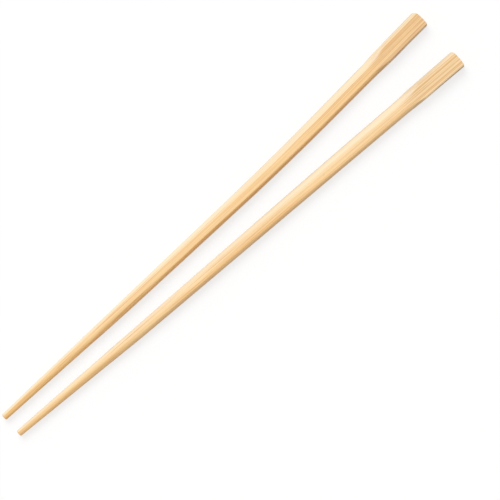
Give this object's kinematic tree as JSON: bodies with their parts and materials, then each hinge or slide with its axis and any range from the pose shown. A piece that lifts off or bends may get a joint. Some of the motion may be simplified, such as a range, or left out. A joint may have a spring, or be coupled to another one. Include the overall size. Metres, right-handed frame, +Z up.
{
  "type": "pair of wooden chopsticks",
  "caption": "Pair of disposable bamboo chopsticks, split apart, each with a flat square head, a bevelled body and a round tapered tip, lying side by side.",
  "frame": {"origin": "on the resting surface, under the middle of the pair's bounding box", "axes": "+X along the pair from the tips to the square heads, +Y from the straight stick to the bowed one, +Z up from the backs the sticks lie on"},
  "size_m": [0.2302, 0.0296, 0.0056],
  "materials": {
    "warm_bamboo": "bare cut bamboo, matt, with fine lengthwise fibre bundles",
    "pale_bamboo": "bare cut bamboo, matt, a little paler, with fine lengthwise fibre bundles"
  },
  "bodies": {
    "root": {"upper_chopstick": "warm_bamboo", "lower_chopstick": "pale_bamboo"}
  },
  "joints": []
}
